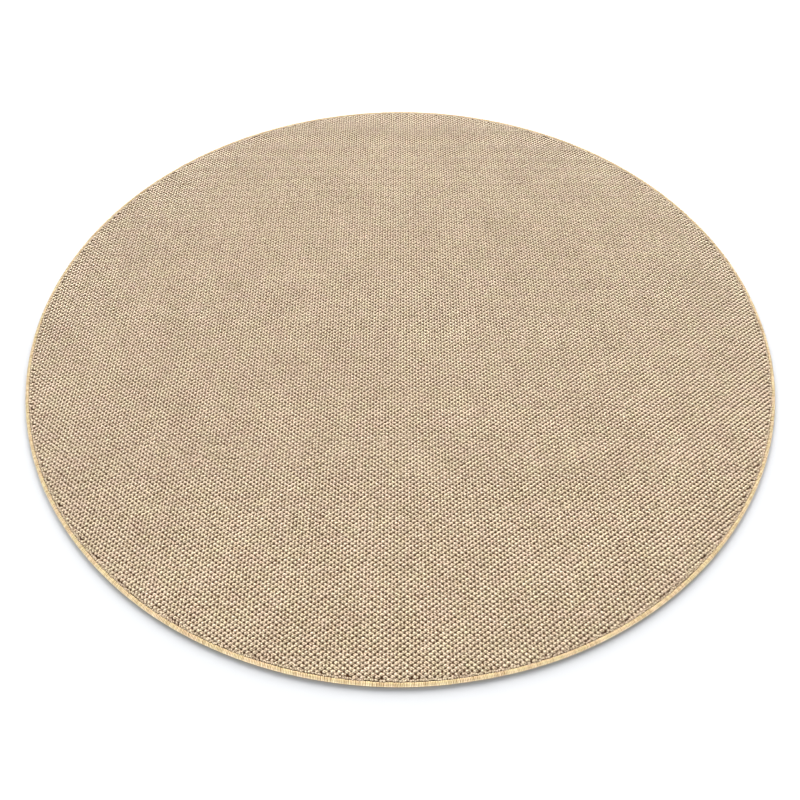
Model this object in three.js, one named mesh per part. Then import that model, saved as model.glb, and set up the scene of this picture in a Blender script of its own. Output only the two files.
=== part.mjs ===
// A round flatwoven loop rug of polypropylene yarn, lying flat on the floor.
// The cut rim of the cloth is pinched thin and wrapped all round by overlock yarn.
// Millimetres, +Z up. The origin is the middle of the underside.

import * as THREE from "three";

// Driving dimensions
const RUG_DIAMETER = 1200;
const CLOTH_THICKNESS = 6; // backing and loops together, up to the tops of the loops
const BINDING_WIDTH = 6.4; // seen from above, from the outline inwards
const BINDING_HEIGHT = 5.6;
const YARN_THICKNESS = 1.5; // the layer of yarn above, below and outside the rim
const BINDING_CORNER = 2.4; // radius where the yarn turns over the rim
const PINCH_RUN = 2; // how far in from the yarn the cloth begins to be pinched
const PIECE_GAP = 0.3;
const SEGMENTS = 144;
const CORNER_STEPS = 3;

const OUTLINE_RADIUS = RUG_DIAMETER / 2;
const BINDING_INNER_RADIUS = OUTLINE_RADIUS - BINDING_WIDTH;
const RIM_RADIUS = OUTLINE_RADIUS - YARN_THICKNESS - PIECE_GAP;
const RIM_BOTTOM = YARN_THICKNESS + PIECE_GAP;
const RIM_TOP = BINDING_HEIGHT - YARN_THICKNESS - PIECE_GAP;

// The outline is a hand-cut circle. It leaves the true one by these shallow swells and dips,
// each a height, a place round the rug counted from +X towards +Y, and a width.
const OUTLINE_SWELLS = [
  { height: -0.8, place: 280, width: 6 },
  { height: -0.6, place: 194, width: 9 },
  { height: 0.5, place: 86, width: 12 },
  { height: 0.5, place: 52, width: 10 },
  { height: -0.5, place: 3, width: 5 },
  { height: 0.3, place: 237, width: 8 },
  { height: -0.3, place: 100, width: 6 },
];

function angleBetween(a, b) {
  return THREE.MathUtils.euclideanModulo(a - b + 180, 360) - 180;
}

function outlineSwell(degrees) {
  return OUTLINE_SWELLS.reduce((sum, swell) => {
    const away = angleBetween(degrees, swell.place) / swell.width;
    return sum + swell.height * Math.exp(-away * away);
  }, 0);
}

// Moves each point outwards or inwards in step with its share of the radius,
// so that the cloth and its binding stay the same distance apart.
function followOutline(geometry) {
  const points = geometry.getAttribute("position");
  for (let i = 0; i < points.count; i += 1) {
    const x = points.getX(i);
    const y = points.getY(i);
    const swell = outlineSwell(THREE.MathUtils.radToDeg(Math.atan2(y, x)));
    const stretch = 1 + swell / OUTLINE_RADIUS;
    points.setXY(i, x * stretch, y * stretch);
  }
}

// Turns a profile of (radius, height) points round the rug's upright axis.
function turned(profile) {
  const geometry = new THREE.LatheGeometry(profile, SEGMENTS);
  geometry.rotateX(Math.PI / 2);
  followOutline(geometry);
  return geometry;
}

// A quarter round of the binding's section about (radius, height), from one angle to the next.
function quarterRound(radius, height, from) {
  const steps = Array.from({ length: CORNER_STEPS + 1 }, (_, i) => i / CORNER_STEPS);
  return steps.map((share) => {
    const angle = from + (share * Math.PI) / 2;
    return new THREE.Vector2(
      radius + BINDING_CORNER * Math.cos(angle),
      height + BINDING_CORNER * Math.sin(angle),
    );
  });
}

function fabric(color, roughness) {
  return new THREE.MeshStandardMaterial({ color, roughness, metalness: 0 });
}

function piece(name, geometry, material) {
  const mesh = new THREE.Mesh(geometry, material);
  mesh.name = name;
  return mesh;
}

// The cloth: a flat disc whose rim narrows to a tongue inside the wrapped yarn.
function rugCloth() {
  const pinchStart = BINDING_INNER_RADIUS - PINCH_RUN;
  const pinchEnd = BINDING_INNER_RADIUS - PIECE_GAP;
  const profile = [
    new THREE.Vector2(0, 0),
    new THREE.Vector2(pinchStart, 0),
    new THREE.Vector2(pinchEnd, RIM_BOTTOM),
    new THREE.Vector2(RIM_RADIUS, RIM_BOTTOM),
    new THREE.Vector2(RIM_RADIUS, RIM_TOP),
    new THREE.Vector2(pinchEnd, RIM_TOP),
    new THREE.Vector2(pinchStart, CLOTH_THICKNESS),
    new THREE.Vector2(0, CLOTH_THICKNESS),
  ];
  return piece("rug_cloth", turned(profile), fabric(0xc3ab8a, 0.9));
}

// The binding: a ring of yarn with a C-shaped section, open inwards, closed on itself.
function edgeBinding() {
  const slotRadius = OUTLINE_RADIUS - YARN_THICKNESS;
  const slotTop = BINDING_HEIGHT - YARN_THICKNESS;
  const lip = YARN_THICKNESS / 3;
  const cornerRadius = OUTLINE_RADIUS - BINDING_CORNER;
  const start = new THREE.Vector2(BINDING_INNER_RADIUS, YARN_THICKNESS);
  const profile = [
    start,
    new THREE.Vector2(BINDING_INNER_RADIUS, lip),
    new THREE.Vector2(BINDING_INNER_RADIUS + lip, 0),
    ...quarterRound(cornerRadius, BINDING_CORNER, -Math.PI / 2),
    ...quarterRound(cornerRadius, BINDING_HEIGHT - BINDING_CORNER, 0),
    new THREE.Vector2(BINDING_INNER_RADIUS + lip, BINDING_HEIGHT),
    new THREE.Vector2(BINDING_INNER_RADIUS, BINDING_HEIGHT - lip),
    new THREE.Vector2(BINDING_INNER_RADIUS, slotTop),
    new THREE.Vector2(slotRadius, slotTop),
    new THREE.Vector2(slotRadius, YARN_THICKNESS),
    start.clone(),
  ];
  return piece("edge_binding", turned(profile), fabric(0xdcc49a, 0.8));
}

const rug = new THREE.Group();
rug.add(rugCloth());
rug.add(edgeBinding());

export default rug;
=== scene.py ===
"""A round loop-pile rug of polypropylene yarn, lying flat on a pale studio floor.

Metres, +Z up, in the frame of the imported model: the origin is the middle of the rug's underside,
and -Y points to the camera. The cloth is a woven ground with about thirty-four thousand short
loops standing on it, and its cut rim is wrapped all round by overlock yarn.
"""

import logging
import math
from collections.abc import Sequence
from dataclasses import dataclass, field
from enum import Enum

import bmesh
import bpy
import numpy as np
from mathutils import Matrix, Vector


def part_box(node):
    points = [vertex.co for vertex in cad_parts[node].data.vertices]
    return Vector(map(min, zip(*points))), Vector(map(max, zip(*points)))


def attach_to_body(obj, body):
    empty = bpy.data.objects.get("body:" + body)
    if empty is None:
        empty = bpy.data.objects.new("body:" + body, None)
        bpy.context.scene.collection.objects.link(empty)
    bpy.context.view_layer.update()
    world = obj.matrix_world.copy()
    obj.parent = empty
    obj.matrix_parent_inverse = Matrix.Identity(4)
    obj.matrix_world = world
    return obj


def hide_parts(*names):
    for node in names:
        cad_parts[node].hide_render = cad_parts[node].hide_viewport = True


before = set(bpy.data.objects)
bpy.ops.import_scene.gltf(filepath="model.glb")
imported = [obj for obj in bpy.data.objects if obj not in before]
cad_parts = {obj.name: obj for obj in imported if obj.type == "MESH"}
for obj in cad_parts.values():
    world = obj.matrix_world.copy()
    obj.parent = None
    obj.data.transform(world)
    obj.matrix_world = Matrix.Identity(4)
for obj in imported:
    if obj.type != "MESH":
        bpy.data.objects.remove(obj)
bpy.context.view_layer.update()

MM = 0.001
BODY = "root"
CLOTH_NODE = "rug_cloth"
BINDING_NODE = "edge_binding"
FLOOR = "studio_floor"
YARN_SHADE = "yarn_shade"
YARN_PLACE = "yarn_place"
BAKE_MAP = "OFBake"
STRANDS = 2  # in one stitch of the binding
PATTERN_STEP = 40.0  # how far apart two copies of one shape read the same noise
CELL_MIDDLE = (0.5, 0.5, 0.0)  # where a loop's crown lies on its map
TOUCHING = 0.001 * MM
MIX_INPUTS = (0, 6, 7)  # where a colour mix takes its share and its two colours
MIX_OUTPUT = 2

log = logging.getLogger("rug")

Colour = tuple[float, float, float]
Place = tuple[float, float]
Piece = bpy.types.Object
Shape = bmesh.types.BMesh
Vertex = bmesh.types.BMVert
Edge = bmesh.types.BMEdge
Face = bmesh.types.BMFace
Socket = bpy.types.NodeSocket
Value = float | Sequence[float] | Socket


class Kind(Enum):
    """What a stored attribute holds."""

    NUMBER = "FLOAT"
    VECTOR = "FLOAT_VECTOR"
    MAP_PLACE = "FLOAT2"


def linear(red: int, green: int, blue: int) -> Colour:
    """Turn a display colour into the linear one that shaders take.

    Args:
        red: Red from 0 to 255.
        green: Green from 0 to 255.
        blue: Blue from 0 to 255.

    Returns:
        The same colour in linear light, from 0 to 1.
    """
    def channel(level: int) -> float:
        """Turn one level into linear light."""
        share = level / 255
        return share / 12.92 if share <= 0.04045 else ((share + 0.055) / 1.055) ** 2.4

    return channel(red), channel(green), channel(blue)


class Graph:
    """A node tree that is written like a formula: each call adds a node and gives its output."""

    def __init__(self, tree: bpy.types.NodeTree) -> None:
        """Start on an empty tree.

        Args:
            tree: A shader or geometry node tree.
        """
        self.tree = tree
        tree.nodes.clear()

    def node(
        self, kind: str, inputs: dict[str | int, Value] | None = None, **settings: object
    ) -> bpy.types.Node:
        """Add one node.

        Args:
            kind: The node's type name.
            inputs: A value or another node's output for each named or numbered input.
            **settings: The node's own properties.

        Returns:
            The new node.
        """
        made = self.tree.nodes.new(kind)
        for name, setting in settings.items():
            setattr(made, name, setting)
        for name, value in (inputs or {}).items():
            if isinstance(value, Socket):
                self.tree.links.new(value, made.inputs[name])
            else:
                made.inputs[name].default_value = value
        return made

    def math(self, operation: str, *values: Value) -> Socket:
        """Add a scalar sum, product or the like of some numbers or outputs."""
        return self.node("ShaderNodeMath", dict(enumerate(values)), operation=operation).outputs[0]

    def total(self, first: Value, *others: Value) -> Socket:
        """Add up numbers or outputs.

        Args:
            first: The first of them.
            *others: The others.

        Returns:
            The total's output.
        """
        for other in others:
            first = self.math("ADD", first, other)
        return first

    def vector(self, operation: str, *vectors: Value) -> bpy.types.NodeOutputs:
        """Add a sum, a length or the like of some vectors."""
        return self.node("ShaderNodeVectorMath", dict(enumerate(vectors)), operation=operation).outputs

    def split(self, vector: Socket) -> bpy.types.NodeOutputs:
        """Split a vector into its X, Y and Z outputs."""
        return self.node("ShaderNodeSeparateXYZ", {0: vector}).outputs

    def join(self, x: Value = 0.0, y: Value = 0.0, z: Value = 0.0) -> Socket:
        """Join three numbers to a vector."""
        return self.node("ShaderNodeCombineXYZ", {0: x, 1: y, 2: z}).outputs[0]

    def span(self, value: Value, low: float, high: float, to_low: float, to_high: float) -> Socket:
        """Carry a value from the span low to high over to another one, held at both ends."""
        inputs = {"Value": value, 1: low, 2: high, 3: to_low, 4: to_high}
        return self.node("ShaderNodeMapRange", inputs).outputs[0]


class ShaderGraph(Graph):
    """The node tree of a material."""

    def __init__(self, material: bpy.types.Material) -> None:
        """Start a material's tree with its output and main shader.

        Args:
            material: The material to fill.
        """
        material.use_nodes = True
        super().__init__(material.node_tree)
        self.shader = self.node("ShaderNodeBsdfPrincipled")
        self.node("ShaderNodeOutputMaterial", {"Surface": self.shader.outputs["BSDF"]})
        self.place = self.node("ShaderNodeTexCoord").outputs["Object"]

    def attribute(self, name: str) -> bpy.types.Node:
        """Read an attribute of the mesh by its name."""
        return self.node("ShaderNodeAttribute", attribute_name=name)

    def scaled(self, vector: Socket, scale: Sequence[float]) -> Socket:
        """Scale a place along each axis, to stretch the pattern that reads it."""
        return self.node("ShaderNodeMapping", {"Vector": vector, "Scale": scale}).outputs[0]

    def noise(self, vector: Socket, scale: float, detail: float = 2.0) -> Socket:
        """Add soft noise, from 0 to 1, that repeats scale times in a unit of the vector it is read at."""
        inputs = {"Vector": vector, "Scale": scale, "Detail": detail}
        return self.node("ShaderNodeTexNoise", inputs).outputs[0]

    def around(self, noise: Socket, spread: float, to_low: float, to_high: float) -> Socket:
        """Carry the middle spread of a noise, half of it to each side of 0.5, over to another span."""
        return self.span(noise, 0.5 - spread / 2, 0.5 + spread / 2, to_low, to_high)

    def away(self, value: Value, middle: float) -> Socket:
        """Give how far a number lies from a middle one."""
        return self.math("ABSOLUTE", self.math("SUBTRACT", value, middle))

    def blend(self, share: Value, first: Value, second: Value) -> Socket:
        """Mix two colours.

        Args:
            share: How much of the second colour there is.
            first: The first colour.
            second: The second colour.

        Returns:
            The mixed colour's output.
        """
        made = self.node("ShaderNodeMix", data_type="RGBA")
        for number, value in zip(MIX_INPUTS, (share, first, second)):
            socket = made.inputs[number]
            if isinstance(value, Socket):
                self.tree.links.new(value, socket)
            elif isinstance(value, tuple):
                socket.default_value = (*value, 1.0)
            else:
                socket.default_value = value
        return made.outputs[MIX_OUTPUT]

    def ramp(self, share: Socket, stops: Sequence[tuple[float, Colour]]) -> Socket:
        """Run a number through a row of colours.

        Args:
            share: The number, from 0 to 1.
            stops: Each colour with the number that it stands at.

        Returns:
            The colour's output.
        """
        made = self.node("ShaderNodeValToRGB", {0: share})
        elements = made.color_ramp.elements
        while len(elements) < len(stops):
            elements.new(1.0)
        for element, (position, colour) in zip(elements, stops):
            element.position = position
            element.color = (*colour, 1.0)
        return made.outputs[0]

    def weave(self, column: float, row: float) -> Socket:
        """Add a plain weave.

        Args:
            column: How far apart every second column of floats stands.
            row: How far apart every second row stands.

        Returns:
            Its height, from 0 in a gap to 1 on a float.
        """
        x, y, _ = self.split(self.place)
        warp = self.math("SINE", self.math("MULTIPLY", x, 2 * math.pi / column))
        weft = self.math("SINE", self.math("MULTIPLY", y, 2 * math.pi / row))
        return self.span(self.math("MULTIPLY", warp, weft), -1.0, 1.0, 0.0, 1.0)

    def bump(self, height: Socket, depth: float, strength: float) -> None:
        """Raise the surface by a pattern.

        Args:
            height: The pattern, from 0 to 1.
            depth: How high 1 stands, in metres.
            strength: How much of it shows.
        """
        inputs = {"Height": height, "Distance": depth, "Strength": strength}
        made = self.node("ShaderNodeBump", inputs)
        self.tree.links.new(made.outputs[0], self.shader.inputs["Normal"])

    def surface(self, colour: Socket, roughness: Value, sheen: float, specular: float) -> None:
        """Set the main shader's colour and gloss.

        Args:
            colour: The base colour.
            roughness: From 0, a mirror, to 1, dull.
            sheen: The weight of the fibres' sheen.
            specular: The strength of the plain highlight.
        """
        self.tree.links.new(colour, self.shader.inputs["Base Color"])
        if isinstance(roughness, Socket):
            self.tree.links.new(roughness, self.shader.inputs["Roughness"])
        else:
            self.shader.inputs["Roughness"].default_value = roughness
        self.shader.inputs["Sheen Weight"].default_value = sheen
        self.shader.inputs["Specular IOR Level"].default_value = specular


@dataclass(frozen=True)
class Gauge:
    """The spacing of the loops: staggered columns along Y, every second one shifted by half a row."""

    column: float = 4.672 * MM
    row: float = 7.044 * MM


@dataclass(frozen=True)
class LoopYarnFinish:
    """Heathered beige bulked yarn, paler at the crown because painted shade darkens each loop's sides and
    pits.
    """

    gauge: Gauge
    dim: Colour = linear(221, 202, 169)
    plain: Colour = linear(229, 212, 180)
    light: Colour = linear(231, 215, 185)
    rosy: Colour = linear(235, 206, 184)
    green: Colour = linear(226, 214, 174)
    # Dark root tone and painted shade in the pits, reached below root_height.
    root: Colour = linear(84, 57, 30)
    # The dark end of the random tone and of the painted shade on the sides, waist and ply grooves.
    shadow: Colour = linear(88, 59, 29)
    root_height: float = 4.4 * MM
    side_height: float = 5.45 * MM
    # Painted shade down each loop's sides, growing over side_reach of its map away from the lit crown.
    side_shade: float = 0.31
    # Painted shade: a darker band across each loop, waist_width either side of waist_place.
    waist_place: float = 0.61
    waist_width: float = 0.11
    waist_shade: float = 0.32
    side_reach: tuple[float, float] = (0.04, 0.34)
    tint_share: float = 0.4
    patch_size: float = 26 * MM
    patch_spread: float = 0.3
    tone_size: float = 70 * MM
    tone_weight: float = 2.0
    streak_depth: float = 0.1
    streak_spread: float = 1.4
    streak_lengths: tuple[float, float] = (80 * MM, 400 * MM)
    lump_scale: tuple[float, float, float] = (5.0, 4.0, 1.0)
    lump_spread: float = 0.26
    lump_depth: float = 0.28
    groove_share: float = 0.6
    # Painted shade in the grooves between the plies.
    groove_shade: float = 0.32
    fibre_scale: tuple[float, float, float] = (3.0, 18.0, 1.0)
    fibre_spread: float = 0.4
    fibre_depth: float = 0.08
    relief_share: float = 0.6
    roughness: tuple[float, float] = (0.75, 0.6)
    twist: float = 0.9
    plies: float = 3.1

    def make(self) -> bpy.types.Material:
        """Build the material.

        Returns:
            The finished material.
        """
        material = bpy.data.materials.new("loop_yarn")
        graph = ShaderGraph(material)
        shade = graph.attribute(YARN_SHADE).outputs["Fac"]
        own = graph.attribute(YARN_PLACE).outputs["Vector"]
        tones = graph.ramp(shade, [(0.0, self.dim), (0.5, self.plain), (1.0, self.light)])
        patches = graph.noise(graph.place, 1 / self.patch_size, detail=3.0)
        tint = graph.blend(graph.around(patches, self.patch_spread, 0.0, 1.0), self.rosy, self.green)
        tinted = graph.blend(self.tint_share, tones, tint)
        slanted = self.slanted(graph, own, shade)
        lumps = graph.noise(graph.scaled(slanted, self.lump_scale), 1.0)
        fibres = graph.noise(graph.scaled(slanted, self.fibre_scale), 1.0, detail=3.0)
        grooves = self.grooves(graph, slanted, lumps)
        # Painted shade grows with the distance from the crown, where CELL_MIDDLE stands.
        reach = graph.vector("DISTANCE", own, CELL_MIDDLE)["Value"]
        waist = graph.away(graph.split(own)["X"], self.waist_place)
        # Random tone (streaks, lumps, fibres) and painted shade (ply grooves, sides away from the crown,
        # waist band).
        darker = graph.total(
            self.streaks(graph),
            graph.around(lumps, self.lump_spread, self.lump_depth, 0.0),
            # Painted shade in the ply grooves.
            graph.span(grooves, 0.0, self.groove_share, self.groove_shade, 0.0),
            graph.around(fibres, self.fibre_spread, self.fibre_depth, 0.0),
            graph.span(reach, *self.side_reach, 0.0, self.side_shade),
            # Painted shade of the waist band.
            graph.span(waist, 0.0, self.waist_width, self.waist_shade, 0.0),
        )
        yarn = graph.blend(darker, tinted, self.shadow)
        # Painted shade in the pits: towards the ground the yarn turns to the root colour.
        above = graph.span(graph.split(graph.place)["Z"], self.root_height, self.side_height, 0.0, 1.0)
        colour = graph.blend(above, self.root, yarn)
        roughness = graph.around(fibres, self.fibre_spread, *self.roughness)
        graph.surface(colour, roughness, sheen=0.1, specular=0.25)
        relief = graph.math("MULTIPLY", graph.total(grooves, fibres), self.relief_share)
        graph.bump(relief, depth=0.5 * MM, strength=0.8)
        return material

    def streaks(self, graph: ShaderGraph) -> Socket:
        """Give the uneven tone of the cloth: broad patches, and streaks along its columns and rows.

        Args:
            graph: The tree to add the pattern to.

        Returns:
            How much darker the yarn is, from 0 to 1.
        """
        layers = [
            graph.noise(graph.scaled(graph.place, scale), 1.0)
            for length in self.streak_lengths
            for scale in ((1 / self.gauge.column, 1 / length, 1.0), (1 / length, 2 / self.gauge.row, 1.0))
        ]
        tone = graph.math("MULTIPLY", graph.noise(graph.place, 1 / self.tone_size), self.tone_weight)
        middle = (len(layers) + self.tone_weight) / 2
        low, high = middle - self.streak_spread / 2, middle + self.streak_spread / 2
        return graph.span(graph.total(tone, *layers), low, high, self.streak_depth, 0.0)

    def slanted(self, graph: ShaderGraph, own: Socket, shade: Socket) -> Socket:
        """Give the place on a loop's skin, slanted as its plies are, with no two loops alike.

        Args:
            graph: The tree to add to.
            own: The place on the loop's own skin.
            shade: The loop's own random number.

        Returns:
            The slanted place, far from every other loop's.
        """
        x, y, _ = graph.split(own)
        across = graph.math("ADD", y, graph.math("MULTIPLY", x, self.twist))
        return graph.join(x, across, graph.math("MULTIPLY", shade, PATTERN_STEP))

    def grooves(self, graph: ShaderGraph, slanted: Socket, lumps: Socket) -> Socket:
        """Give the twisted plies of the yarn, side by side along the loop.

        Args:
            graph: The tree to add to.
            slanted: The slanted place on the loop's skin.
            lumps: Noise that bends the plies.

        Returns:
            Their height, from 0 in the groove between two plies to 1 on a ply.
        """
        _, across, loose = graph.split(slanted)
        turns = graph.total(graph.math("MULTIPLY", across, self.plies), loose, lumps)
        wave = graph.math("SINE", graph.math("MULTIPLY", turns, 2 * math.pi))
        return graph.span(wave, -1.0, 1.0, 0.0, 1.0)


@dataclass(frozen=True)
class GroundFinish:
    """The dark woven ground that shows between the loops."""

    gauge: Gauge
    yarn: Colour = linear(84, 55, 28)
    gap: Colour = linear(50, 32, 16)

    def make(self) -> bpy.types.Material:
        """Build the material.

        Returns:
            The finished material.
        """
        material = bpy.data.materials.new("ground_yarn")
        graph = ShaderGraph(material)
        weave = graph.weave(self.gauge.column, self.gauge.row / 2)
        graph.surface(graph.blend(weave, self.gap, self.yarn), roughness=0.9, sheen=0.0, specular=0.2)
        graph.bump(weave, depth=0.5 * MM, strength=0.8)
        return material


@dataclass(frozen=True)
class BackingFinish:
    """The woven underside, where the same yarn shows as flat floats under a thin pale coat."""

    gauge: Gauge
    thread: Colour = linear(206, 194, 172)
    gap: Colour = linear(150, 134, 108)
    worn_size: float = 30 * MM

    def make(self) -> bpy.types.Material:
        """Build the material.

        Returns:
            The finished material.
        """
        material = bpy.data.materials.new("backing")
        graph = ShaderGraph(material)
        weave = graph.weave(2 * self.gauge.column, self.gauge.row)
        worn = graph.noise(graph.place, 1 / self.worn_size, detail=4.0)
        thread = graph.blend(worn, self.thread, self.gap)
        graph.surface(graph.blend(weave, self.gap, thread), roughness=0.85, sheen=0.0, specular=0.3)
        graph.bump(weave, depth=0.6 * MM, strength=0.8)
        return material


@dataclass(frozen=True)
class BindingYarnFinish:
    """Cream overlock yarn, golden and in painted shade where it dips into the cloth, with a painted highlight
    on its outer face; each stitch a little unlike the next.
    """

    # Painted shade with a golden tone where the yarn tucks under and into the cloth.
    golden_tone_and_tuck_shade: Colour = linear(150, 120, 76)
    golden_tone_and_deep_shade: Colour = linear(184, 159, 115)
    middle: Colour = linear(204, 182, 142)
    light: Colour = linear(226, 208, 173)
    # Painted highlight on the outer face of the rim.
    pale: Colour = linear(236, 221, 190)
    rosy: Colour = linear(240, 206, 170)
    green: Colour = linear(222, 214, 156)
    tint_share: float = 0.32
    patch_size: float = 14 * MM
    patch_spread: float = 0.2
    strand_depth: float = 0.5
    # Painted shade in the furrows between the two strands and in the seams between stitches.
    furrow_start: float = 0.15
    furrow_shade: float = 0.7
    seam_start: float = 0.3
    seam_shade: float = 0.6
    fibre_scale: tuple[float, float, float] = (14.0, 5.0, 1.0)
    fibre_spread: float = 0.4
    fibre_depth: float = 0.16
    roughness: tuple[float, float] = (0.7, 0.5)

    def make(self) -> bpy.types.Material:
        """Build the material.

        Returns:
            The finished material.
        """
        material = bpy.data.materials.new("binding_yarn")
        graph = ShaderGraph(material)
        shade = graph.attribute(YARN_SHADE).outputs["Fac"]
        across, along, _ = graph.split(graph.attribute(YARN_PLACE).outputs["Vector"])
        # Painted light and shade along the section, from the lower lip round the rim to the upper lip.
        tones = graph.ramp(along, [
            (0.0, self.golden_tone_and_tuck_shade),
            (0.2, self.golden_tone_and_deep_shade),
            (0.4, self.middle),
            (0.5, self.light),
            (0.58, self.pale),
            (0.64, self.light),
            (0.73, self.middle),
            (0.85, self.golden_tone_and_deep_shade),
            (0.96, self.golden_tone_and_tuck_shade),
        ])
        patches = graph.noise(graph.place, 1 / self.patch_size)
        tint = graph.blend(graph.around(patches, self.patch_spread, 0.0, 1.0), self.rosy, self.green)
        tinted = graph.blend(self.tint_share, tones, tint)
        strands = graph.math("MULTIPLY", across, float(STRANDS))
        own = graph.math("ADD", graph.math("MULTIPLY", shade, PATTERN_STEP), graph.math("FLOOR", strands))
        lot = graph.node("ShaderNodeTexWhiteNoise", {"W": own}, noise_dimensions="1D").outputs["Value"]
        fibres = graph.noise(graph.scaled(graph.join(across, along, own), self.fibre_scale), 1.0, detail=3.0)
        strand_side = graph.away(graph.math("FRACT", strands), 0.5)
        # Random tone of each strand and of the fibres, and painted shade in the furrows and seams.
        darker = graph.total(
            graph.math("MULTIPLY", lot, self.strand_depth),
            graph.span(strand_side, self.furrow_start, 0.5, 0.0, self.furrow_shade),
            graph.span(graph.away(across, 0.5), self.seam_start, 0.5, 0.0, self.seam_shade),
            graph.around(fibres, self.fibre_spread, self.fibre_depth, 0.0),
        )
        colour = graph.blend(darker, tinted, self.golden_tone_and_tuck_shade)
        roughness = graph.around(fibres, self.fibre_spread, *self.roughness)
        graph.surface(colour, roughness, sheen=0.15, specular=0.4)
        graph.bump(fibres, depth=0.3 * MM, strength=0.6)
        return material


@dataclass(frozen=True)
class FloorFinish:
    """A plain white studio floor."""

    white: Colour = (0.6, 0.6, 0.6)

    def make(self) -> bpy.types.Material:
        """Build the material.

        Returns:
            The finished material.
        """
        material = bpy.data.materials.new("studio_floor")
        graph = ShaderGraph(material)
        graph.shader.inputs["Base Color"].default_value = (*self.white, 1.0)
        graph.shader.inputs["Roughness"].default_value = 0.95
        graph.shader.inputs["Specular IOR Level"].default_value = 0.0
        return material


def link(name: str, mesh: bpy.types.Mesh) -> Piece:
    """Make an object of a mesh, at the origin, and show it.

    Args:
        name: The object's name.
        mesh: Its mesh, already in place.

    Returns:
        The new object.
    """
    made = bpy.data.objects.new(name, mesh)
    bpy.context.scene.collection.objects.link(made)
    return made


def dress(piece: Piece, *materials: bpy.types.Material) -> None:
    """Give a piece its materials in place of any that it has.

    Args:
        piece: The piece.
        *materials: Its materials, in order.
    """
    piece.data.materials.clear()
    for material in materials:
        piece.data.materials.append(material)


def face_rank(face: Face, count: int) -> int:
    """Rank a face by its first three vertices, which no other face has all of.

    Args:
        face: The face.
        count: How many vertices its bmesh has.

    Returns:
        Its place among the faces.
    """
    first, second, third = sorted(vertex.index for vertex in face.verts)[:3]
    return (first * count + second) * count + third


def mesh_of(name: str, shape: Shape, smooth: bool = True) -> bpy.types.Mesh:
    """Turn a bmesh into a mesh and free it.

    Args:
        name: The mesh's name.
        shape: The bmesh.
        smooth: Whether its faces are shaded smooth.

    Returns:
        The new mesh.
    """
    # Merging vertices leaves the faces in an order that changes from run to run.
    shape.verts.index_update()
    count = len(shape.verts)
    shape.faces.sort(key=lambda face: face_rank(face, count))
    for face in shape.faces:
        face.smooth = smooth
    mesh = bpy.data.meshes.new(name)
    shape.to_mesh(mesh)
    shape.free()
    return mesh


def lay_yarn(shape: Shape, places: dict[Vertex, Place]) -> None:
    """Store each vertex's place on its yarn as a UV map.

    Args:
        shape: The bmesh.
        places: Each vertex's place across and along the yarn, from 0 to 1.
    """
    layer = shape.loops.layers.uv.new(YARN_PLACE)
    for face in shape.faces:
        for corner in face.loops:
            corner[layer].uv = places[corner.vert]


def extruded(shape: Shape, edges: list[Edge]) -> tuple[list[Vertex], list[Edge]]:
    """Extrude a row or ring of edges on the spot.

    Args:
        shape: The bmesh they are in.
        edges: The row or ring.

    Returns:
        The new vertices and the new edges.
    """
    made = bmesh.ops.extrude_edge_only(shape, edges=edges)["geom"]
    points = [item for item in made if isinstance(item, Vertex)]
    return points, [item for item in made if isinstance(item, Edge)]


def turned(profile: Sequence[Place], steps: int, closed: bool) -> Shape:
    """Turn a profile round the upright axis.

    Args:
        profile: Points of radius and height, in order.
        steps: How many faces go round.
        closed: Whether the last point joins the first.

    Returns:
        A bmesh with its faces outwards.
    """
    shape = bmesh.new()
    points = [shape.verts.new((radius, 0.0, height)) for radius, height in profile]
    pairs = list(zip(points, points[1:]))
    if closed:
        pairs.append((points[-1], points[0]))
    edges = [shape.edges.new(pair) for pair in pairs]
    bmesh.ops.spin(
        shape,
        geom=points + edges,
        axis=(0.0, 0.0, 1.0),
        cent=(0.0, 0.0, 0.0),
        angle=2 * math.pi,
        steps=steps,
        use_merge=True,
    )
    bmesh.ops.remove_doubles(shape, verts=shape.verts[:], dist=TOUCHING)
    bmesh.ops.recalc_face_normals(shape, faces=shape.faces[:])
    return shape


class Outline:
    """The rug's hand-cut outline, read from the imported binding."""

    rim_band = 2 * MM
    angle_digits = 4

    def __init__(self, node: Piece) -> None:
        """Measure how far the rim stands from the middle all the way round.

        Args:
            node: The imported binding, whose outermost points are the rim.
        """
        points = np.array([vertex.co for vertex in node.data.vertices])
        reach = np.hypot(points[:, 0], points[:, 1])
        rim = reach > reach.max() - self.rim_band
        angles = np.arctan2(points[rim, 1], points[rim, 0]).round(self.angle_digits)
        self.angles = np.unique(angles)
        self.reaches = np.array([reach[rim][angles == angle].max() for angle in self.angles])
        self.radius = float(np.median(self.reaches))

    def follow(self, mesh: bpy.types.Mesh) -> None:
        """Move a true circle's mesh outwards or inwards to the hand-cut outline.

        Args:
            mesh: A mesh whose rim is the circle of the outline's middle radius.
        """
        flat = np.empty(len(mesh.vertices) * 3, np.float32)
        mesh.vertices.foreach_get("co", flat)
        points = flat.reshape(-1, 3)
        angles = np.arctan2(points[:, 1], points[:, 0])
        reach = np.interp(angles, self.angles, self.reaches, period=2 * math.pi)
        points[:, :2] *= (reach / self.radius)[:, None]
        mesh.vertices.foreach_set("co", points.ravel())
        mesh.update()


def finish_pieces(
    meshes: Sequence[bpy.types.Mesh], outline: Outline, yarn: bpy.types.Material
) -> list[Piece]:
    """Bring meshes to the hand-cut outline, and make them pieces of one yarn.

    Args:
        meshes: Meshes that fit a true circle.
        outline: The rug's outline.
        yarn: Their material.

    Returns:
        A piece for each mesh, of the same name.
    """
    pieces = []
    for mesh in meshes:
        outline.follow(mesh)
        piece = link(mesh.name, mesh)
        dress(piece, yarn)
        pieces.append(piece)
    return pieces


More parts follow.
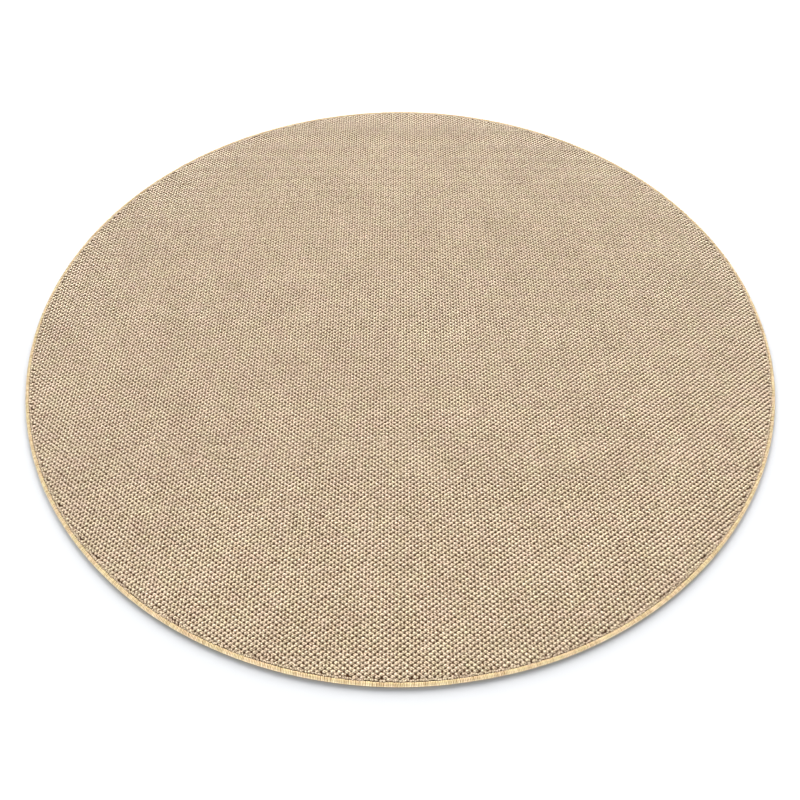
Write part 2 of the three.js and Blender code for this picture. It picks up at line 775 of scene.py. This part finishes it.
class Scatter(Graph):
    """A geometry tree that stands copies of one small shape on many points."""

    def __init__(self, name: str) -> None:
        """Start an empty geometry tree.

        Args:
            name: The name of the tree and of the mesh that it makes.
        """
        super().__init__(bpy.data.node_groups.new(name, "GeometryNodeTree"))
        self.name = name
        self.tree.interface.new_socket("Geometry", in_out="OUTPUT", socket_type="NodeSocketGeometry")
        self.place = self.split(self.node("GeometryNodeInputPosition").outputs[0])

    def random(self, low: Value, high: Value, seed: int) -> Socket:
        """Give each point a random number or vector.

        Args:
            low: The least it may be: a number, or three for a vector.
            high: The most it may be.
            seed: The row of random numbers to use.

        Returns:
            The random value's output.
        """
        if isinstance(low, tuple):
            inputs = {0: low, 1: high, "Seed": seed}
            return self.node("FunctionNodeRandomValue", inputs, data_type="FLOAT_VECTOR").outputs[0]
        inputs = {2: low, 3: high, "Seed": seed}
        return self.node("FunctionNodeRandomValue", inputs, data_type="FLOAT").outputs[1]

    def moved(self, points: Socket, offset: Value) -> Socket:
        """Move each point by an offset."""
        return self.node("GeometryNodeSetPosition", {"Geometry": points, "Offset": offset}).outputs[0]

    def keep(
        self, geometry: Socket, name: str, value: Value, kind: Kind = Kind.NUMBER, domain: str = "POINT"
    ) -> Socket:
        """Store a value under a name.

        Args:
            geometry: The points or mesh.
            name: The attribute's name.
            value: The value.
            kind: What the attribute holds.
            domain: Where it is stored.

        Returns:
            The geometry's output.
        """
        inputs = {"Geometry": geometry, "Name": name, "Value": value}
        made = self.node("GeometryNodeStoreNamedAttribute", inputs, data_type=kind.value, domain=domain)
        return made.outputs[0]

    def named(self, name: str, kind: Kind) -> Socket:
        """Read a stored attribute by its name."""
        return self.node("GeometryNodeInputNamedAttribute", {"Name": name}, data_type=kind.value).outputs[0]

    def grow(
        self,
        points: Socket,
        shape: Piece,
        rotation: Value,
        scale: Value,
        seed: int,
        cells: tuple[int, int],
    ) -> bpy.types.Mesh:
        """Stand one copy of a shape on each point, and give them all as one plain mesh.

        Each copy gets a random shade, and its own cell of the baking map.

        Args:
            points: The points.
            shape: The object to copy.
            rotation: How each copy is turned.
            scale: How each copy is scaled.
            seed: The row of random numbers for the shades.
            cells: How many cells stand across and up the baking map.

        Returns:
            The finished mesh.
        """
        shaded = self.keep(points, YARN_SHADE, self.random(0.0, 1.0, seed))
        counted = self.keep(shaded, "cell", self.node("GeometryNodeInputIndex").outputs[0])
        source = self.node("GeometryNodeObjectInfo", {"Object": shape}, transform_space="ORIGINAL")
        turn = self.node("FunctionNodeEulerToRotation", {0: rotation}).outputs[0]
        inputs = {"Points": counted, "Instance": source.outputs["Geometry"], "Rotation": turn, "Scale": scale}
        copies = self.node("GeometryNodeInstanceOnPoints", inputs).outputs[0]
        real = self.node("GeometryNodeRealizeInstances", {"Geometry": copies}).outputs[0]
        across, up = cells
        cell = self.named("cell", Kind.NUMBER)
        local = self.split(self.named(YARN_PLACE, Kind.VECTOR))
        column = self.math("ADD", self.math("MODULO", cell, across), local["X"])
        row = self.math("ADD", self.math("FLOOR", self.math("DIVIDE", cell, across)), local["Y"])
        place = self.join(self.math("DIVIDE", column, across), self.math("DIVIDE", row, up))
        self.node("NodeGroupOutput", {0: self.keep(real, BAKE_MAP, place, Kind.MAP_PLACE, "CORNER")})
        carrier = link(self.name + "_carrier", bpy.data.meshes.new(self.name + "_carrier"))
        carrier.modifiers.new("scatter", "NODES").node_group = self.tree
        evaluated = carrier.evaluated_get(bpy.context.evaluated_depsgraph_get())
        mesh = bpy.data.meshes.new_from_object(evaluated)
        mesh.name = self.name
        bpy.data.objects.remove(carrier)
        return mesh


@dataclass(frozen=True)
class Loop:
    """One loop of bulked yarn: an arch with sloping ends, steeper at -X, where its crown is."""

    half_length: float = 4.66 * MM
    half_width: float = 2.94 * MM
    squareness: float = 0.12
    foot_depth: float = 0.3 * MM
    shoulder_height: float = 1.6 * MM
    crown_height: float = 2.15 * MM
    shoulder_share: tuple[float, float] = (0.68, 0.85)
    shift: float = 0.35 * MM
    lean: float = 1.1 * MM
    sides: int = 8
    foot_on_map: float = 0.48
    shoulder_on_map: float = 0.3

    def build(self) -> Piece:
        """Build the loop with its foot just under the ground, and lay its skin out flat on a map.

        Returns:
            The loop's object, its long side along X.
        """
        shape = bmesh.new()
        bmesh.ops.create_circle(shape, segments=self.sides, radius=1.0)
        foot = shape.verts[:]
        for vertex in foot:
            vertex.co *= 1 + 2 * self.squareness * abs(vertex.co.x * vertex.co.y)
            vertex.co.z = -self.foot_depth
        shoulder, rim = extruded(shape, shape.edges[:])
        rise = self.foot_depth + self.shoulder_height
        bmesh.ops.translate(shape, verts=shoulder, vec=(0.0, 0.0, rise))
        bmesh.ops.scale(shape, verts=shoulder, vec=(*self.shoulder_share, 1.0))
        inner, _ = extruded(shape, rim)
        bmesh.ops.pointmerge(shape, verts=inner, merge_co=(0.0, 0.0, self.crown_height))
        reaches = {vertex: self.foot_on_map for vertex in foot}
        reaches.update({vertex: self.shoulder_on_map for vertex in shoulder})
        places = {vertex: self.map_place(vertex, reaches.get(vertex, 0.0)) for vertex in shape.verts}
        bmesh.ops.scale(shape, verts=shape.verts[:], vec=(self.half_length, self.half_width, 1.0))
        bmesh.ops.translate(shape, verts=shape.verts[:], vec=(self.shift, 0.0, 0.0))
        top = max(shape.verts, key=lambda vertex: vertex.co.z)
        top.co.x = -self.lean
        bmesh.ops.recalc_face_normals(shape, faces=shape.faces[:])
        lay_yarn(shape, places)
        return link("loop", mesh_of("loop", shape))

    @staticmethod
    def map_place(vertex: Vertex, reach: float) -> Place:
        """Give a vertex its place in the loop's cell of the map.

        Args:
            vertex: A vertex of the loop while it is still round.
            reach: How far from the cell's middle its ring lies.

        Returns:
            Its place across and up the cell, from 0 to 1.
        """
        angle = math.atan2(vertex.co.y, vertex.co.x)
        return 0.5 + reach * math.cos(angle), 0.5 + reach * math.sin(angle)


@dataclass(frozen=True)
class LoopCloth:
    """The cloth: a woven ground, staggered loops in strips across it, and a pinched row at its rim."""

    gauge: Gauge
    binding_width: float
    ground_height: float = 3.85 * MM
    tongue_low: float = 1.8 * MM
    tongue_high: float = 2.9 * MM
    tongue_start: float = 1.7 * MM
    backing_slope: float = -0.3
    loop: Loop = field(default_factory=Loop)
    rib_angle: float = math.radians(6.0)
    place_jitter: float = 0.28 * MM
    height_jitter: float = 0.2 * MM
    turn_jitter: float = math.radians(8.0)
    tilt_jitter: float = math.radians(5.0)
    size_jitter: float = 0.06
    last_row: float = 1.9 * MM
    press_width: float = 5.0 * MM
    pressed_share: float = 0.85
    pinched_loops: int = 1200
    pinched_size: tuple[float, float, float] = (0.45, 0.66, 0.64)
    pinched_growth: float = 1.3
    pinched_lift: float = 0.1 * MM
    strips: int = 5
    spare_cells: float = 1.05
    steps: int = 288
    seed: int = 170

    def build(self, outline: Outline) -> list[Piece]:
        """Build the ground, the strips of loops and the pinched row.

        Args:
            outline: The rug's outline.

        Returns:
            The ground, and then the pieces on it.
        """
        edge = outline.radius - self.binding_width
        loop = self.loop.build()
        meshes = [
            self.grow_strip(f"loops_{number + 1}", loop, edge - self.last_row, left, right)
            for number, (left, right) in enumerate(self.strip_edges(edge))
        ]
        meshes.append(self.grow_pinched(loop, edge))
        bpy.data.objects.remove(loop)
        ground = self.build_ground(outline)
        return [ground, *finish_pieces(meshes, outline, LoopYarnFinish(self.gauge).make())]

    def build_ground(self, outline: Outline) -> Piece:
        """Build the woven ground: a flat disc whose rim narrows to a tongue inside the binding.

        Args:
            outline: The rug's outline.

        Returns:
            The ground's object.
        """
        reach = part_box(CLOTH_NODE)[1].x
        tongue = outline.radius - self.binding_width
        start = tongue - self.tongue_start
        profile = [
            (0.0, 0.0),
            (start / 2, 0.0),
            (start, 0.0),
            (tongue, self.tongue_low),
            (reach, self.tongue_low),
            (reach, self.tongue_high),
            (tongue, self.tongue_high),
            (start, self.ground_height),
            (start / 2, self.ground_height),
            (0.0, self.ground_height),
        ]
        mesh = mesh_of("cloth_ground", turned(profile, self.steps, closed=False), smooth=False)
        outline.follow(mesh)
        ground = link("cloth_ground", mesh)
        dress(ground, GroundFinish(self.gauge).make(), BackingFinish(self.gauge).make())
        for face in mesh.polygons:
            face.material_index = int(face.normal.z < self.backing_slope)
        return ground

    def strip_edges(self, limit: float) -> list[Place]:
        """Cut the disc into upright strips that hold equal shares of it.

        Args:
            limit: The disc's radius.

        Returns:
            Each strip's left and right edge.
        """
        samples = 4001
        places = np.linspace(-1.0, 1.0, samples)
        shares = 0.5 + (places * np.sqrt(1 - places**2) + np.arcsin(places)) / math.pi
        cuts = np.interp(np.arange(1, self.strips) / self.strips, shares, places) * limit
        edges = [-2 * limit, *(float(cut) for cut in cuts), 2 * limit]
        return list(zip(edges, edges[1:]))

    def grow_strip(self, name: str, loop: Piece, limit: float, left: float, right: float) -> bpy.types.Mesh:
        """Stand the loops of one strip on their staggered columns.

        Args:
            name: The strip's name.
            loop: The loop to copy.
            limit: How far from the middle the last loops stand.
            left: The strip's left edge.
            right: The strip's right edge.

        Returns:
            The strip's mesh.
        """
        graph = Scatter(name)
        column_gap, row_gap = self.gauge.column, self.gauge.row
        columns = 2 * math.ceil(limit / column_gap) + 1
        rows = 2 * math.ceil(limit / row_gap) + 3
        width = (columns - 1) * column_gap
        inputs = {"Size X": width, "Size Y": (rows - 1) * row_gap, "Vertices X": columns, "Vertices Y": rows}
        grid = graph.node("GeometryNodeMeshGrid", inputs).outputs[0]
        x, y = graph.place["X"], graph.place["Y"]
        column = graph.math("ROUND", graph.math("DIVIDE", graph.math("ADD", x, width / 2), column_gap))
        stagger = graph.math("MULTIPLY", graph.math("MODULO", column, 2.0), row_gap / 2)
        staggered = graph.moved(grid, graph.join(0.0, stagger, self.ground_height))
        sideways, down = self.place_jitter, self.height_jitter
        jitter = graph.random((-sideways, -sideways, -down), (sideways, sideways, 0.0), self.seed)
        jittered = graph.moved(staggered, jitter)
        reach = graph.vector("LENGTH", graph.join(x, y))["Value"]
        outside = graph.math("GREATER_THAN", reach, limit)
        beyond = graph.math("ADD", graph.math("LESS_THAN", x, left), graph.math("GREATER_THAN", x, right))
        dropped = graph.math("GREATER_THAN", graph.math("ADD", outside, beyond), 0.5)
        inputs = {"Geometry": jittered, "Selection": dropped}
        kept = graph.node("GeometryNodeDeleteGeometry", inputs).outputs[0]
        pressed = graph.span(reach, limit - self.press_width, limit, 1.0, self.pressed_share)
        tilt, turn = self.tilt_jitter, self.turn_jitter
        low, high = (-tilt, -tilt, self.rib_angle - turn), (tilt, tilt, self.rib_angle + turn)
        rotation = graph.random(low, high, self.seed + 1)
        small, large = 1 - self.size_jitter, 1 + self.size_jitter
        size = graph.split(graph.random((small, small, small), (large, large, 1.0), self.seed + 2))
        scale = graph.join(size["X"], size["Y"], graph.math("MULTIPLY", size["Z"], pressed))
        loops = math.pi * limit**2 / (column_gap * row_gap) / self.strips
        across = math.ceil(math.sqrt(self.spare_cells * loops))
        return graph.grow(kept, loop, rotation, scale, self.seed + 3, (across, across))

    def grow_pinched(self, loop: Piece, edge: float) -> bpy.types.Mesh:
        """Stand the small, pulled-in loops of the last row, which fill up to the binding.

        Args:
            loop: The loop to copy.
            edge: The radius of the binding's inner edge.

        Returns:
            The row's mesh.
        """
        graph = Scatter("loops_pinched")
        inputs = {"Vertices": self.pinched_loops, "Radius": edge - self.last_row / 2}
        ring = graph.node("GeometryNodeMeshCircle", inputs).outputs[0]
        sway = self.last_row / 2
        offset = graph.random((-sway, -sway, 0.0), (sway, sway, self.pinched_lift), self.seed + 4)
        points = graph.moved(ring, graph.vector("ADD", offset, (0.0, 0.0, self.ground_height))[0])
        tilt = self.tilt_jitter
        rotation = graph.random((-tilt, -tilt, 0.0), (tilt, tilt, math.pi), self.seed + 5)
        large = tuple(self.pinched_growth * share for share in self.pinched_size)
        scale = graph.random(self.pinched_size, large, self.seed + 6)
        across = math.ceil(math.sqrt(self.pinched_loops))
        return graph.grow(points, loop, rotation, scale, self.seed + 7, (across, across))


@dataclass(frozen=True)
class EdgeBinding:
    """The overlock: a smooth inner roll, and close stitches of two strands over it, lip to lip.

    The section gives points of the yarn's outside, as distance in from the outline and height.
    """

    width: float = 6.2 * MM
    slot_end: float = 1.5 * MM
    slot_low: float = 1.5 * MM
    slot_high: float = 3.2 * MM
    strand_lift: float = 0.7 * MM
    roll_inset: float = 0.85 * MM
    roll_lift: float = 0.5 * MM
    lip_inset: float = 0.5 * MM
    map_margin: float = 0.02
    stitch_rows: int = 13
    stitches_in_row: int = 67
    strand_overlap: float = 1.3
    slant: float = math.radians(7.0)
    slant_jitter: float = math.radians(7.0)
    size_jitter: float = 0.03
    width_jitter: float = 0.15
    steps: int = 288
    seed: int = 290

    @property
    def section(self) -> list[Place]:
        """Give the yarn's outside from the lower lip, round the rim, to the upper lip.

        Returns:
            Each point's distance in from the outline, and its height.
        """
        points = (
            (6.2, 0.9), (4.6, 0.05), (2.4, 0.05), (0.9, 0.8), (0.15, 2.3), (0.3, 3.8),
            (1.0, 4.9), (2.2, 5.5), (3.6, 5.6), (4.9, 5.3), (5.8, 4.6), (6.4, 3.6),
        )
        return [(inwards * MM, height * MM) for inwards, height in points]

    def build(self, outline: Outline) -> list[Piece]:
        """Build the inner roll and the stitches.

        Args:
            outline: The rug's outline.

        Returns:
            The roll and the stitches.
        """
        stitch = self.build_stitch(outline.radius)
        meshes = [
            mesh_of("binding_roll", self.roll_shape(outline.radius)),
            self.grow_stitches(stitch, outline.radius),
        ]
        bpy.data.objects.remove(stitch)
        return finish_pieces(meshes, outline, BindingYarnFinish().make())

    def roll_shape(self, radius: float) -> Shape:
        """Build the closed inner roll, a C in section, open towards the cloth.

        Args:
            radius: The outline's radius.

        Returns:
            The roll, just under the stitches.
        """
        middle = Vector((self.width / 2, (self.slot_low + self.slot_high) / 2 + self.roll_lift))
        outer = []
        for point in self.section[1:-1]:
            inwards = Vector(point)
            inset = inwards + (middle - inwards).normalized() * self.roll_inset
            outer.append((radius - inset.x, inset.y))
        lip = radius - self.width + self.lip_inset
        end = radius - self.slot_end
        slot = [(lip, self.slot_high), (end, self.slot_high), (end, self.slot_low), (lip, self.slot_low)]
        return turned(outer + slot, self.steps, closed=True)

    def build_stitch(self, radius: float) -> Piece:
        """Build one stitch of two strands, each a low arch of yarn carried round the section.

        Args:
            radius: The outline's radius.

        Returns:
            The stitch's object: the rim at X = 0, the cloth towards -X.
        """
        shape = bmesh.new()
        places: dict[Vertex, Place] = {}
        width = 2 * math.pi * radius / (self.stitch_rows * self.stitches_in_row * STRANDS)
        for strand in range(STRANDS):
            self.sweep_strand(shape, places, strand, width)
        bmesh.ops.recalc_face_normals(shape, faces=shape.faces[:])
        lay_yarn(shape, places)
        return link("stitch", mesh_of("stitch", shape))

    def sweep_strand(
        self,
        shape: Shape,
        places: dict[Vertex, Place],
        strand: int,
        width: float,
    ) -> None:
        """Carry a low arch along the section by extruding it from point to point.

        Args:
            shape: The bmesh to draw in.
            places: Where each new vertex's place on the yarn is noted.
            strand: The strand's number, from 0.
            width: The strand's share of the rim.
        """
        stops = self.stops()
        lengths = [(after.translation - before.translation).length for before, after in zip(stops, stops[1:])]
        half = width * self.strand_overlap / 2
        centre = (strand - (STRANDS - 1) / 2) * width
        arch = ((-1.0, -self.strand_lift), (-0.5, 0.0), (0.5, 0.0), (1.0, -self.strand_lift))
        row = [shape.verts.new(stops[0] @ Vector((0.0, centre + side * half, lift))) for side, lift in arch]
        edges = [shape.edges.new(pair) for pair in zip(row, row[1:])]
        for number, stop in enumerate(stops):
            if number:
                row, edges = extruded(shape, edges)
                bmesh.ops.transform(shape, matrix=stop @ stops[number - 1].inverted(), verts=row)
            for vertex in row:
                across = 0.5 + (vertex.co.y - centre) / (2 * half)
                along = sum(lengths[:number]) / sum(lengths)
                places[vertex] = self.map_place((strand + across) / STRANDS, along)

    def map_place(self, across: float, along: float) -> Place:
        """Give a place in the stitch's cell of the map, a margin in from the cell's edges."""
        inner = 1 - 2 * self.map_margin
        return self.map_margin + inner * across, self.map_margin + inner * along

    def stops(self) -> list[Matrix]:
        """Stand a frame on each point of the section.

        Returns:
            The frames, with X along the section and Z outwards from it.
        """
        points = [Vector((-inwards, 0.0, height)) for inwards, height in self.section]
        frames = []
        for number, point in enumerate(points):
            before, after = points[max(number - 1, 0)], points[min(number + 1, len(points) - 1)]
            along = (after - before).normalized()
            outwards = Vector((along.z, 0.0, -along.x))
            turn = Matrix((along, (0.0, 1.0, 0.0), outwards)).transposed().to_4x4()
            frames.append(Matrix.Translation(point) @ turn)
        return frames

    def grow_stitches(self, stitch: Piece, radius: float) -> bpy.types.Mesh:
        """Stand the stitches round the rim.

        Args:
            stitch: The stitch to copy.
            radius: The outline's radius.

        Returns:
            The stitches' mesh.
        """
        graph = Scatter("binding_stitches")
        count = self.stitch_rows * self.stitches_in_row
        ring = graph.node("GeometryNodeMeshCircle", {"Vertices": count, "Radius": radius}).outputs[0]
        angle = graph.math("ARCTAN2", graph.place["Y"], graph.place["X"])
        low, high = self.slant - self.slant_jitter, self.slant + self.slant_jitter
        turn = graph.math("ADD", angle, graph.random(low, high, self.seed))
        small, narrow, wide = 1 - self.size_jitter, 1 - self.width_jitter, 1 + self.width_jitter
        scale = graph.random((small, narrow, small), (1.0, wide, 1.0), self.seed + 1)
        cells = (self.stitches_in_row, self.stitch_rows)
        return graph.grow(ring, stitch, graph.join(0.0, 0.0, turn), scale, self.seed + 2, cells)


@dataclass(frozen=True)
class Studio:
    """The floor, the light and the camera."""

    floor_size: float = 12.0
    floor_drop: float = 0.2 * MM
    camera_place: tuple[float, float, float] = (-0.00017, -0.95477, 1.04471)
    camera_pitch: float = math.radians(90 - 52.51)
    camera_lens: float = 38.242
    sensor_width: float = 36.0
    clip_start: float = 0.01
    film_blur: float = 1.0  # pixels
    key_from: tuple[float, float, float] = (0.352, 0.871, 0.342)
    key_angle: float = math.radians(60.0)
    key_strength: float = 5.6
    key_colour: Colour = (1.0, 0.98, 0.965)
    cloth_from: tuple[float, float, float] = (0.12, -0.42, 0.9)
    cloth_strength: float = 2.25
    binding_from: tuple[float, float, float] = (0.0, -0.951, 0.309)
    binding_strength: float = 4.4
    front_angle: float = math.radians(30.0)
    front_colour: Colour = (0.99, 0.985, 0.97)
    overhead_angle: float = math.radians(140.0)
    overhead_strength: float = 1.05
    overhead_colour: Colour = (0.95, 0.97, 1.0)
    sky_colour: Colour = (0.72, 0.88, 1.06)
    sky_strength: float = 0.26

    def build(self, cloth: Sequence[Piece], binding: Sequence[Piece]) -> None:
        """Build the floor, light it and the rug, and set the camera.

        Args:
            cloth: The cloth's pieces.
            binding: The binding's pieces.
        """
        floor = self.build_floor()
        self.build_light(cloth, binding, floor)
        self.build_camera()

    def build_floor(self) -> Piece:
        """Lay the floor just under the rug.

        Returns:
            The floor.
        """
        shape = bmesh.new()
        bmesh.ops.create_grid(shape, x_segments=1, y_segments=1, size=self.floor_size / 2)
        bmesh.ops.translate(shape, verts=shape.verts[:], vec=(0.0, 0.0, -self.floor_drop))
        floor = link(FLOOR, mesh_of(FLOOR, shape))
        dress(floor, FloorFinish().make())
        return floor

    def build_light(self, cloth: Sequence[Piece], binding: Sequence[Piece], floor: Piece) -> None:
        """Light everything from behind and by a soft sky, and each part by a softer lamp of its own.

        Args:
            cloth: The cloth's pieces.
            binding: The binding's pieces.
            floor: The floor.
        """
        side, back, up = self.key_from
        for name, place in (("key_right", side), ("key_left", -side)):
            lit = [*cloth, *binding, floor]
            self.build_lamp(name, (place, back, up), self.key_angle, self.key_strength, self.key_colour, lit)
        above = (0.0, 0.0, 1.0)
        front = (self.front_angle, self.front_colour)
        overhead = (self.overhead_angle, self.overhead_colour)
        for name, place, (angle, colour), strength, lit in (
            ("over_cloth", self.cloth_from, front, self.cloth_strength, cloth),
            ("at_binding", self.binding_from, front, self.binding_strength, binding),
            ("over_floor", above, overhead, self.overhead_strength, [floor]),
        ):
            self.build_lamp(name, place, angle, strength, colour, lit)
        world = bpy.data.worlds.new("studio_sky")
        world.use_nodes = True
        sky = world.node_tree.nodes["Background"]
        sky.inputs["Color"].default_value = (*self.sky_colour, 1.0)
        sky.inputs["Strength"].default_value = self.sky_strength
        bpy.context.scene.world = world
        bpy.context.scene.view_settings.view_transform = "Standard"

    def build_lamp(
        self,
        name: str,
        source: tuple[float, float, float],
        angle: float,
        strength: float,
        colour: Colour,
        lit: Sequence[Piece],
    ) -> None:
        """Set up one broad, far lamp.

        Args:
            name: The lamp's name.
            source: The direction that it shines from.
            angle: How broad it looks.
            strength: How strongly it shines.
            colour: Its colour.
            lit: The objects that it lights.
        """
        data = bpy.data.lights.new(name, "SUN")
        data.angle = angle
        data.energy = strength
        data.color = colour
        lamp = bpy.data.objects.new(name, data)
        lamp.rotation_euler = Vector(source).to_track_quat("Z", "Y").to_euler()
        bpy.context.scene.collection.objects.link(lamp)
        lamp.light_linking.receiver_collection = bpy.data.collections.new(name + "_lights")
        for item in lit:
            lamp.light_linking.receiver_collection.objects.link(item)

    def build_camera(self) -> None:
        """Set the camera where the photograph was taken from."""
        data = bpy.data.cameras.new("camera")
        data.lens = self.camera_lens
        data.sensor_width = self.sensor_width
        data.clip_start = self.clip_start
        camera = bpy.data.objects.new("camera", data)
        camera.location = self.camera_place
        camera.rotation_euler = (self.camera_pitch, 0.0, 0.0)
        bpy.context.scene.collection.objects.link(camera)
        bpy.context.scene.camera = camera
        bpy.context.scene.cycles.filter_width = self.film_blur


def attach(pieces: Sequence[Piece], node: str) -> None:
    """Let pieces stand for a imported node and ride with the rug.

    Args:
        pieces: The new pieces.
        node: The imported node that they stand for.
    """
    for piece in pieces:
        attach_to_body(piece, BODY)
        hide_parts(node)
        log.info("%s: %d faces", piece.name, len(piece.data.polygons))


def main() -> None:
    """Build the rug and its studio."""
    logging.basicConfig(level=logging.INFO, format="%(name)s: %(message)s")
    outline = Outline(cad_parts[BINDING_NODE])
    edge_binding = EdgeBinding()
    ground, *loops = LoopCloth(Gauge(), edge_binding.width).build(outline)
    binding = edge_binding.build(outline)
    Studio().build([ground, *loops], binding)
    attach([ground, *loops], CLOTH_NODE)
    attach(binding, BINDING_NODE)


if __name__ == "__main__":
    main()
